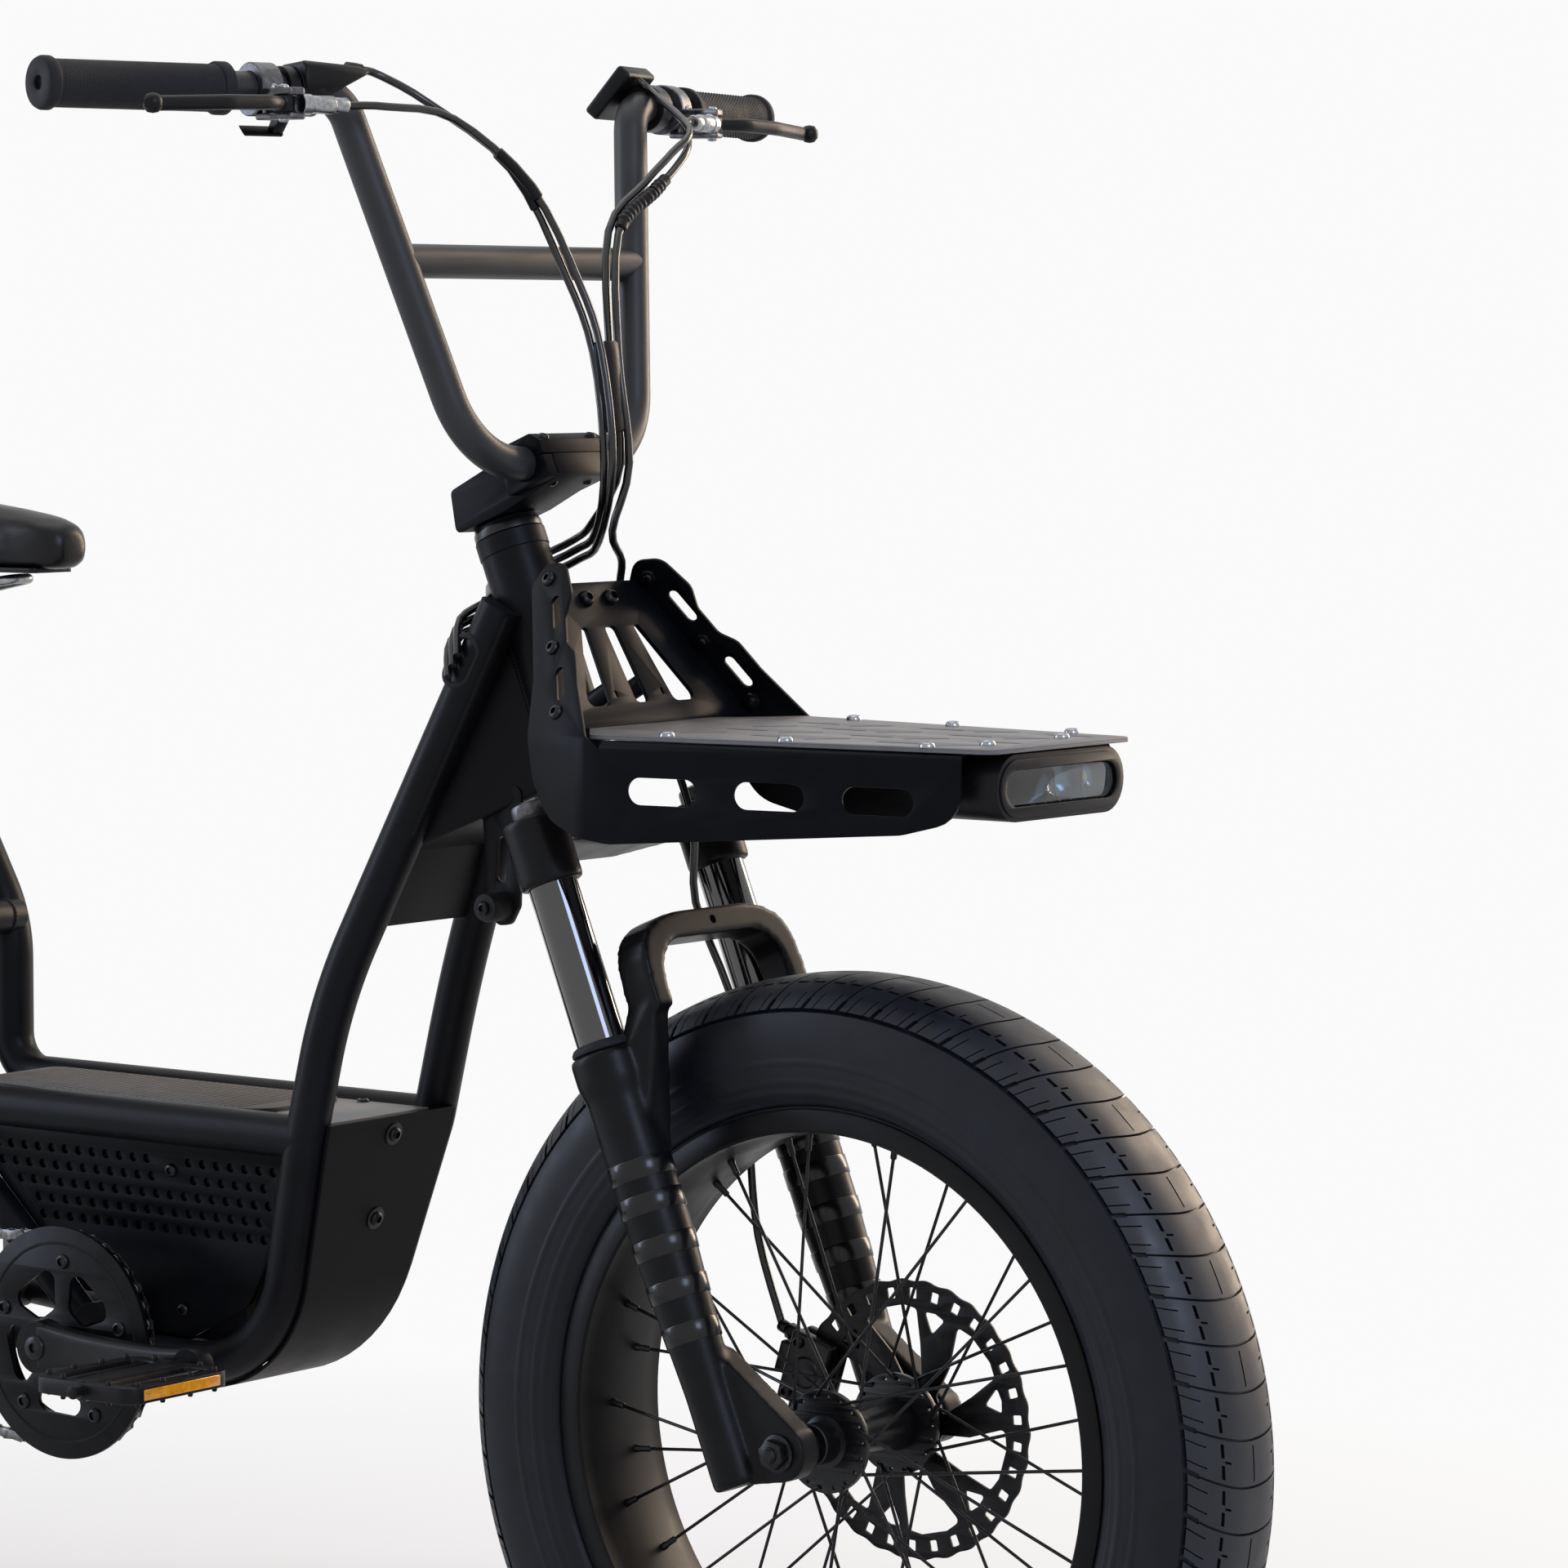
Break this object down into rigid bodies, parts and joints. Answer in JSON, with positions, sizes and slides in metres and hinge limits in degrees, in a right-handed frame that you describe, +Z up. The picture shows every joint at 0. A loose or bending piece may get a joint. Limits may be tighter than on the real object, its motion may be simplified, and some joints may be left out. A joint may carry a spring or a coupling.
{
  "type": "cargo bicycle",
  "caption": "Compact step-through cargo bicycle with tubular frame, sprung fork, front tray rack with lamp, high-rise bar, hub motor, chain drive and long rear carrier.",
  "frame": {"origin": "on the ground, midway between the wheel axles, in the bicycle's middle plane", "axes": "+X forward, +Y to the rider's left, +Z up"},
  "size_m": [1.7, 0.7268, 1.1569],
  "materials": {
    "frame_coat": "matte black powder coat",
    "fork_coat": "matte black coat on cast metal",
    "gloss_tube": "gloss black slider tube",
    "tyre_rubber": "black moulded rubber",
    "rim_coat": "satin black coat on aluminium",
    "hub_coat": "satin black coat on machined aluminium",
    "rotor_steel": "blackened steel disc",
    "axle_steel": "dark zinc-plated steel",
    "bar_coat": "satin black coat on steel tube",
    "grip_rubber": "knurled matte rubber",
    "cast_alloy": "satin cast aluminium",
    "black_plastic": "fine-textured moulded plastic",
    "cable_skin": "gloss black cable outer",
    "rack_coat": "matte charcoal powder coat on folded sheet",
    "lens_clear": "clear moulded lens",
    "chain_steel": "oiled plain steel",
    "crank_coat": "satin black coat on forged aluminium",
    "saddle_vinyl": "smooth black vinyl cover",
    "pack_case": "dark grey moulded case"
  },
  "bodies": {
    "frame": {"frame": "frame_coat", "floor_cover": "black_plastic", "side_panel_left": "frame_coat", "side_panel_right": "frame_coat", "front_cover": "frame_coat", "battery_pack": "pack_case", "motor_controller": "cast_alloy", "headset_upper": "hub_coat", "headset_lower": "hub_coat", "rack_back": "rack_coat", "rack_deck": "rack_coat", "rack_side_left": "rack_coat", "rack_side_right": "rack_coat", "headlight": "black_plastic", "headlight_lens": "lens_clear", "rear_axle": "axle_steel", "rear_caliper": "hub_coat", "chain": "chain_steel", "seat_clamp": "hub_coat"},
    "steering": {"fork_crown": "fork_coat", "stanchion_left": "gloss_tube", "stanchion_right": "gloss_tube", "stem": "frame_coat", "stem_cap": "frame_coat", "handlebar": "bar_coat", "grip_left": "grip_rubber", "grip_right": "grip_rubber", "lever_bracket_left": "cast_alloy", "lever_bracket_right": "cast_alloy", "throttle_pod": "black_plastic", "display": "black_plastic", "cable_brake_front": "cable_skin", "cable_brake_rear": "cable_skin", "cable_throttle": "cable_skin", "cable_display": "cable_skin"},
    "fork_slider": {"fork_lowers": "fork_coat", "front_axle": "axle_steel", "front_caliper": "hub_coat"},
    "front_wheel": {"front_tyre": "tyre_rubber", "front_rim": "rim_coat", "front_hub": "hub_coat", "front_rotor": "rotor_steel"},
    "rear_wheel": {"rear_tyre": "tyre_rubber", "rear_rim": "rim_coat", "rear_hub_motor": "hub_coat", "rear_rotor": "rotor_steel"},
    "freewheel": {"rear_sprocket": "chain_steel"},
    "crankset": {"crank_right": "crank_coat", "crank_left": "crank_coat", "chainring": "crank_coat"},
    "right_pedal": {"pedal_right": "black_plastic"},
    "left_pedal": {"pedal_left": "black_plastic"},
    "seat": {"seatpost": "hub_coat", "saddle_rails": "axle_steel", "saddle": "saddle_vinyl"},
    "stand": {"kickstand": "frame_coat"},
    "right_brake": {"brake_lever_right": "black_plastic"},
    "left_brake": {"brake_lever_left": "black_plastic"},
    "throttle": {"throttle_lever": "black_plastic"},
    "button": {"power_button": "grip_rubber"}
  },
  "joints": [
    {"name": "steering", "type": "hinge", "parent": "frame", "child": "steering", "pos_m": [0.27693, 0, 0.84648], "axis": [-0.3746, 0, 0.9272], "range_deg": [-40, 40], "deforming": ["cable_brake_rear", "cable_throttle", "cable_display", "cable_brake_front"]},
    {"name": "fork_travel", "type": "slide", "parent": "steering", "child": "fork_slider", "axis": [-0.3746, 0, 0.9272], "range_m": [0, 0.06], "stiffness_N_per_m": 5000, "springref_m": -0.05, "deforming": ["cable_brake_front"]},
    {"name": "front_wheel_spin", "type": "hinge", "parent": "fork_slider", "child": "front_wheel", "pos_m": [0.56, 0, 0.29], "axis": [0, 1, 0], "continuous": true},
    {"name": "rear_wheel_spin", "type": "hinge", "parent": "frame", "child": "rear_wheel", "pos_m": [-0.56, 0, 0.29], "axis": [0, 1, 0], "continuous": true},
    {"name": "freewheel_spin", "type": "hinge", "parent": "frame", "child": "freewheel", "pos_m": [-0.56, 0, 0.29], "axis": [0, 1, 0], "continuous": true},
    {"name": "crank_spin", "type": "hinge", "parent": "frame", "child": "crankset", "pos_m": [-0.037, 0, 0.298], "axis": [0, 1, 0], "continuous": true},
    {"name": "right_pedal_spin", "type": "hinge", "parent": "crankset", "child": "right_pedal", "pos_m": [0.12288, -0.146, 0.30414], "axis": [0, 1, 0], "continuous": true},
    {"name": "left_pedal_spin", "type": "hinge", "parent": "crankset", "child": "left_pedal", "pos_m": [-0.19688, 0.146, 0.29186], "axis": [0, 1, 0], "continuous": true},
    {"name": "seatpost_height", "type": "slide", "parent": "frame", "child": "seat", "axis": [-0.1857, 0, 0.9826], "range_m": [0, 0.06]},
    {"name": "kickstand_fold", "type": "hinge", "parent": "frame", "child": "stand", "pos_m": [-0.248, 0, 0.226], "axis": [0, 1, 0], "range_deg": [0, 52]},
    {"name": "right_brake_pull", "type": "hinge", "parent": "steering", "child": "right_brake", "pos_m": [0.27617, -0.21748, 1.118], "axis": [0, 0, -1], "range_deg": [0, 14], "stiffness_Nm_per_rad": 2, "springref_deg": -11.46},
    {"name": "left_brake_pull", "type": "hinge", "parent": "steering", "child": "left_brake", "pos_m": [0.27617, 0.21748, 1.118], "axis": [0, 0, 1], "range_deg": [0, 14], "stiffness_Nm_per_rad": 2, "springref_deg": -11.46},
    {"name": "throttle_push", "type": "hinge", "parent": "steering", "child": "throttle", "pos_m": [0.24988, -0.18763, 1.128], "axis": [-0.2538, -0.9673, 0], "range_deg": [0, 24], "stiffness_Nm_per_rad": 0.2, "springref_deg": -11.46},
    {"name": "button_press", "type": "slide", "parent": "steering", "child": "button", "axis": [0.741, 0.1944, -0.6428], "range_m": [0, 0.001], "stiffness_N_per_m": 400, "springref_m": -0.001}
  ],
  "couplings": [
    {"joint": "freewheel_spin", "follows": "crank_spin", "ratio": 2}
  ]
}
